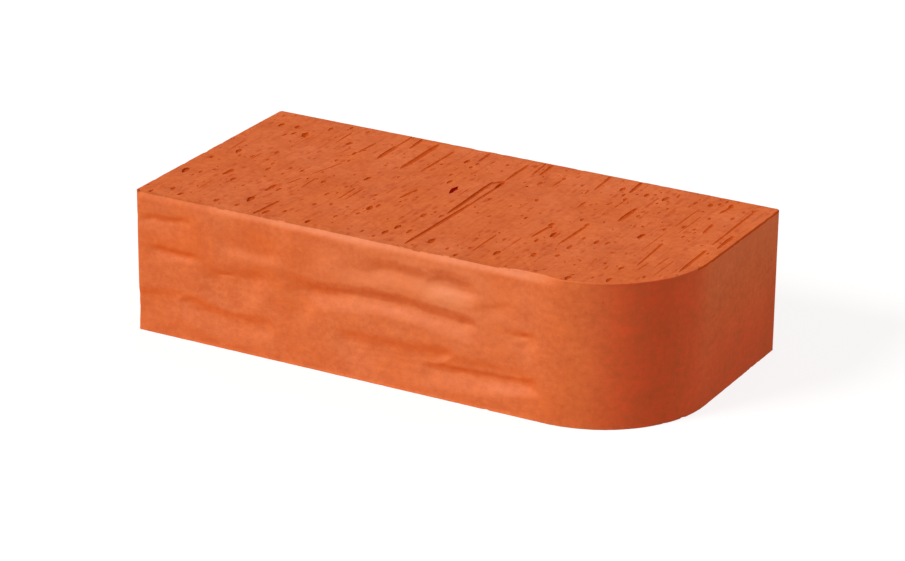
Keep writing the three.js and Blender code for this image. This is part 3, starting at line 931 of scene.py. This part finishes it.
shape_on_marks = mark_tree()
for name, rows, shapes, finish in (
    ("deep pit", [deep_row], pit_shapes, deep_pit_painted_shade),
    ("pits", pit_rows + [knot_row], pit_shapes, pit_clay_painted_shade),
    ("scores", score_rows, furrow_shapes, dark_painted_shade_clay),
):
    for layer in layers(rows, shapes == furrow_shapes):
        spots = marks(name + " points", layer)
        cutters = grown(shape_on_marks, spots, name, Shapes=shapes, Finish=finish)
        bpy.data.objects.remove(spots)
        cut_out(brick, cutters)
for group in (pore_shapes, pit_shapes, furrow_shapes):
    bpy.data.batch_remove([*group.objects, group])

# %% [markdown]
# ## Shading and hand-over
#
# The clay is shaded smooth, except where two faces meet at more than 35 degrees, so that laps
# and rounded edges flow and the rims of the pores stay crisp. The one finished piece then
# stands for the plain solid.

# %% Smooth shading with crisp rims
CRISP_ANGLE = math.radians(35)
bm = bmesh.new()
bm.from_mesh(brick.data)
for face in bm.faces:
    face.smooth = True
for edge in bm.edges:
    edge.smooth = len(edge.link_faces) == 2 and edge.calc_face_angle(0.0) < CRISP_ANGLE
print_solid(bm)
bm.to_mesh(brick.data)
bm.free()
brick.data.name = "facing_brick"
brick.data.calc_loop_triangles()
print("triangles", len(brick.data.loop_triangles))

# %% Painted highlight and painted shade on the clay, and broad tone patches
# Tone patches of the rolled face: x and z of the middle, half the length and height, and how much
# paler it is, or deeper orange, below zero
TONE_PATCHES = [
    (12, 50, 75, 34, 0.3), (28, 47.5, 18, 9, 0.35), (-106, 45, 28, 16, -0.2), (-95, 12, 60, 26, -0.08),
    (45, 22, 50, 40, 0.06), (40, 58, 20, 10, 0.15),
]
# Strengths of the painted highlight on ledges, of the redder painted shade on drops, and of the painted
# highlight along the soft top edge
LEDGE_HIGHLIGHT, DROP_SHADE, SOFT_EDGE_HIGHLIGHT = 0.1, -0.6, 0.38


def painted_face_light(x, z):
    """Painted highlight (above 0) and redder painted shade (below 0) on the rolled face at x and z, with
    tone patches.
    """
    # Faces that turn up get a painted highlight, steep drops a redder painted shade
    faces_up = (rolled_relief(x, z + 0.6) - rolled_relief(x, z - 0.6)) / 1.2
    slope_light = np.clip(faces_up, DROP_SHADE, LEDGE_HIGHLIGHT)
    patches = np.zeros(len(x))
    for middle_x, middle_z, half_long, half_high, strength in TONE_PATCHES:
        beside = np.hypot((x - middle_x) / half_long, (z - middle_z) / half_high)
        patches += strength * ease(1 - beside, 1.0)
    # A band of painted highlight along the soft top edge, weaker towards the left end
    on_edge = ease(z - HEIGHT + 4.4, 2.2) * ease(rounding_x + 8 - x, 14.0)
    on_edge *= 0.1 + 0.9 * ease(x - left, 110.0)
    return (slope_light + patches) * (1 - on_edge) + SOFT_EDGE_HIGHLIGHT * on_edge


spots = np.empty(3 * len(brick.data.vertices))
brick.data.vertices.foreach_get("co", spots)
x, y, z = spots.reshape(-1, 3).T / MM
rubbed = np.zeros(len(x))
on_face = (y < front + 8) & (x < rounding_x + 8) & (z > 0.5)
rubbed[on_face] = painted_face_light(x[on_face], z[on_face])
# Painted shade on the rounded corner and the whole right header, most at the header's foot, and a painted
# sheen on the header's top
turned = np.degrees(np.arctan2(x - corner_centre[0], corner_centre[1] - y))
dense = np.where(x > rounding_x, ease(turned - 12, 30) * ease(106 - turned, 30), 0.0)
on_header = np.where(x > right - 2, ease(y - corner_centre[1] + 14, 24), 0.0)
dense += on_header * (0.2 + 0.95 * ease(50 - z, 45) - dense)
# The header's top takes a pale painted sheen, in place of the face's painted light
rubbed += on_header * (0.2 * ease(z - 35, 30) - rubbed)
for name, values in (("rubbed", rubbed), ("dense", dense)):
    brick.data.attributes.new(name, "FLOAT", "POINT").data.foreach_set("value", values)
print("paler by up to", rubbed.max().round(2))

# %% Stand for the solid
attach(brick, "root")
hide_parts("brick")

# %% [markdown]
# ## Floor, light and camera
#
# The floor is a pale matte board. To the brick it is only that, and it bounces light back up
# as a real table would. Rays from the camera, or from gloss or glass, find plain white there,
# with just enough of the board left in it to keep a soft shadow. One broad lamp stands to the
# left in front, and the wide sky and the board fill in with a slightly warmer light, so that
# shade on the clay turns redder, as it does in a room. A weak lamp at the back right lifts
# the header.

# %% Floor
floor_mesh = bpy.data.meshes.new("floor")
floor_mesh.from_pydata([(-4, -4, 0), (4, -4, 0), (4, 4, 0), (-4, 4, 0)], [], [(0, 1, 2, 3)])
floor = in_scene("floor", floor_mesh)
white_floor = bpy.data.materials.new("pale matte board")
tree = blank_tree(white_floor)
board = add(tree, "ShaderNodeBsdfDiffuse", {"Color": linear("AF968E")})
shadow_catcher = add(tree, "ShaderNodeBsdfDiffuse", {"Color": linear("808080")})
glow = add(tree, "ShaderNodeEmission", {"Color": linear("FFFFFF"), "Strength": 0.83})
white = add(tree, "ShaderNodeAddShader", {0: shadow_catcher, 1: glow})
ray = add(tree, "ShaderNodeLightPath").outputs
seen = ray["Is Camera Ray"]
for kind in ("Is Glossy Ray", "Is Transmission Ray"):
    seen = add(tree, "ShaderNodeMath", {0: seen, 1: ray[kind]}, operation="MAXIMUM")
surface = add(tree, "ShaderNodeMixShader", {0: seen, 1: board, 2: white})
add(tree, "ShaderNodeOutputMaterial", {"Surface": surface})
floor_mesh.materials.append(white_floor)

# %% Light
world = bpy.data.worlds.new("white sky")
tree = blank_tree(world)
sky = add(tree, "ShaderNodeBackground", {"Color": linear("FFEDE6"), "Strength": 0.42})
white_sky = add(tree, "ShaderNodeBackground", {"Color": linear("FFFFFF"), "Strength": 1.0})
from_camera = add(tree, "ShaderNodeLightPath").outputs["Is Camera Ray"]
light = add(tree, "ShaderNodeMixShader", {0: from_camera, 1: sky, 2: white_sky})
add(tree, "ShaderNodeOutputWorld", {"Surface": light})
bpy.context.scene.world = world


def broad_lamp(name, turn, height, strength, spread):
    """A lamp so far off that its light is even. turn is measured from square to the rolled face."""
    turn, height = math.radians(turn), math.radians(height)
    level = math.cos(height)
    lamp_from = Vector((math.sin(turn) * level, -math.cos(turn) * level, math.sin(height)))
    lamp_data = bpy.data.lights.new(name, "SUN")
    lamp_data.energy = strength * math.pi
    lamp_data.angle = math.radians(spread)
    lamp = in_scene(name, lamp_data)
    lamp.rotation_euler = lamp_from.to_track_quat("Z", "Y").to_euler()


broad_lamp("main lamp", turn=-36, height=34, strength=0.925, spread=20)
broad_lamp("header lamp", turn=130, height=20, strength=0.235, spread=40)

# %% Camera
IMAGE_WIDTH, FOCAL_PIXELS = 905, 3637.5
AIM_POINT = (0.00487, -0.01154, 0.0325)
AIM_DISTANCE = 1.561
TURN, RISE, ROLL = (math.radians(degrees) for degrees in (28.75, 21.96, 0.645))
camera_data = bpy.data.cameras.new("camera")
camera_data.sensor_fit = "HORIZONTAL"
camera_data.sensor_width = 36.0
camera_data.lens = FOCAL_PIXELS * camera_data.sensor_width / IMAGE_WIDTH
camera = in_scene("camera", camera_data)
turned_round = Matrix.Rotation(TURN, 4, "Z")
tipped_down = Matrix.Rotation(math.pi / 2 - RISE, 4, "X")
rolled = Matrix.Rotation(ROLL, 4, "Z")
back_off = Matrix.Translation((0, 0, AIM_DISTANCE))
camera.matrix_world = Matrix.Translation(AIM_POINT) @ turned_round @ tipped_down @ rolled @ back_off
bpy.context.scene.camera = camera
bpy.context.scene.view_settings.view_transform = "Standard"
